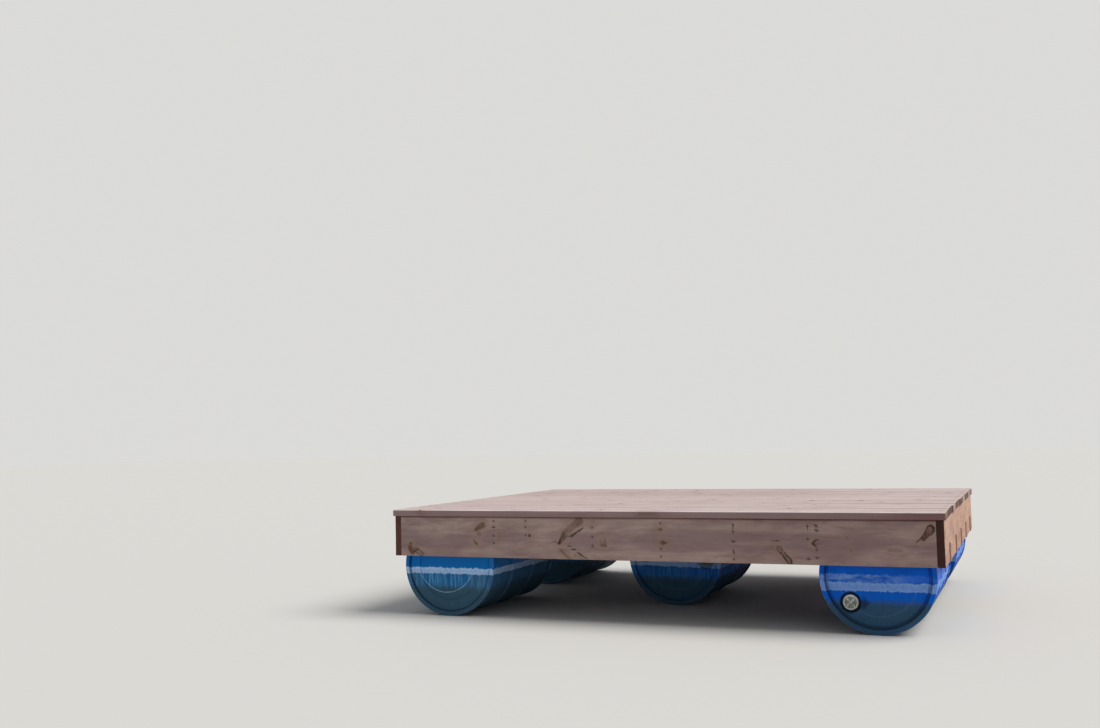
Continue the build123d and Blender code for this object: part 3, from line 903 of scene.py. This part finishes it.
# The head's section: each row is a share of the radius, and the rise out of the wood in metres.
nail_profile = np.array([
    [0.0, 0.0007], [0.55, 0.0006], [0.9, 0.0003], [1.0, -0.0002], [0.9, -0.0015], [0.0, -0.0015],
])


def nail_finish(name, steel, rusty):
    """Dull galvanised steel, grey with brown rust in patches."""
    finish = bare_finish(name, 0.5, 0.5)
    finish.node_tree.nodes["Principled BSDF"].inputs["Metallic"].default_value = 0.5
    place = step("TexCoord", {}, "Object", finish.node_tree)
    rust = clouds(place, (170.0, 170.0, 170.0), detail=3.0, rough=0.7)
    colour = coat(ramp(rust, 0.4, 0.6), steel, rusty)
    return close_finish(finish, colour, line(rust, 0.4, 0.35), rust, 0.0002)


def nail_heads(name, places, outward, finish):
    """Domed heads, one for each place. A profile of radius and rise is turned about the nail's own line."""
    outward = np.array(outward, float)
    first = np.roll(outward, 1)
    second = np.cross(outward, first)
    angle = 2 * np.pi * np.arange(nail_sides) / nail_sides
    ring = np.cos(angle)[:, None] * first + np.sin(angle)[:, None] * second
    radii, rises = nail_head_radius * nail_profile[:, 0, None, None], nail_profile[:, 1, None, None]
    points, triangles, _ = joined_rings(radii * ring + rises * outward)
    places = np.array(places)
    all_points = (places[:, None, :] + points).reshape(-1, 3)
    first_points = len(points) * np.arange(len(places))
    all_triangles = (first_points[:, None, None] + triangles[:, ::-1]).reshape(-1, 3)
    put_piece(name, all_points, all_triangles, {}, finish)


nail_steel = nail_finish("rusty_nail_steel", paint(66, 52, 50), paint(62, 42, 38))
deck_nail_steel = nail_finish("dull_nail_steel", paint(150, 142, 138), paint(122, 98, 86))
for side, directions, nails, lath_nails in (
    ("front_rim", facing_front, front_nails, []),
    ("back_rim", facing_back, back_nails, []),
    ("left_side", facing_left, side_nails, left_lath_nails),
    ("right_side", facing_right, side_nails, right_lath_nails),
):
    along, up, outward = np.array(directions)
    low, high = (np.array(corner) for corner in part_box(side + "_board"))
    face = (low + high + outward * (high - low)) / 2
    places = [face + u * along + v * up for u, v in nails]
    nail_heads(side + "_nails", places + lath_nails, outward, nail_steel)
nail_heads("deck_nails", deck_nail_places, lying[2], deck_nail_steel)

# Studio
# A pale floor under an even light from all round. One very soft lamp stands high on the right and a little
# behind, so the deck and the right side are light and the front rim is in gentle shade. The camera is low,
# beyond the front and to the right of the middle. It looks left and slightly up, so the jetty lies low in
# the picture.
floor_half = 60.0
floor_mesh = bpy.data.meshes.new("studio_floor")
floor_corners = [(floor_half * x, floor_half * y, 0) for x, y in ((-1, -1), (1, -1), (1, 1), (-1, 1))]
floor_mesh.from_pydata(floor_corners, [], [(0, 1, 2, 3)])
floor = bpy.data.objects.new("studio_floor", floor_mesh)
bpy.context.scene.collection.objects.link(floor)
floor_paint = bare_finish("studio_floor_paint", 0.9, 0.2)
floor_paint.node_tree.nodes["Principled BSDF"].inputs["Base Color"].default_value = paint(206, 205, 202)
floor_mesh.materials.append(floor_paint)

lamp_data = bpy.data.lights.new("soft_back_lamp", "SUN")
lamp_data.energy = 3.1
lamp_data.angle = math.radians(40)
lamp_data.color = (1.0, 0.97, 0.93)
lamp = bpy.data.objects.new("soft_back_lamp", lamp_data)
lamp.rotation_mode = "QUATERNION"
lamp.rotation_quaternion = Vector((-0.62, -0.10, -0.78)).to_track_quat("-Z", "Y")
bpy.context.scene.collection.objects.link(lamp)

# The sky lights the jetty at 0.40. Straight to the camera and in reflections a plain pale backdrop shows
# instead.
world = bpy.data.worlds.new("even_sky")
bpy.context.scene.world = world
world.use_nodes = True
sky = world.node_tree.nodes["Background"]
sky.inputs["Color"].default_value = (0.93, 0.96, 1.0, 1.0)
sky.inputs["Strength"].default_value = 0.40
backdrop = step("Background", {"Color": (0.71, 0.705, 0.69, 1.0), "Strength": 1.0}, tree=world.node_tree)
ray = step("LightPath", {}, tree=world.node_tree).node.outputs
seen = work("MAXIMUM", ray["Is Camera Ray"], ray["Is Glossy Ray"])
seen = work("MAXIMUM", seen, ray["Is Transmission Ray"])
light = step("MixShader", {0: seen, 1: sky.outputs[0], 2: backdrop})
world.node_tree.links.new(light, world.node_tree.nodes["World Output"].inputs["Surface"])
bpy.context.scene.view_settings.view_transform = "Standard"

camera_data = bpy.data.cameras.new("low_front_camera")
camera_data.lens = 37.08
camera_data.sensor_width = 36.0
camera = bpy.data.objects.new("low_front_camera", camera_data)
camera_right = (0.91875534, 0.39421719, -0.02194154)
camera_up = (0.0461214, -0.05196569, 0.99758327)
camera_back = (0.39212427, -0.91754693, -0.0659256)
camera.location = (2.004, -7.148, 1.0273)
camera.rotation_mode = "QUATERNION"
camera.rotation_quaternion = Matrix((camera_right, camera_up, camera_back)).transposed().to_quaternion()
bpy.context.scene.collection.objects.link(camera)
bpy.context.scene.camera = camera
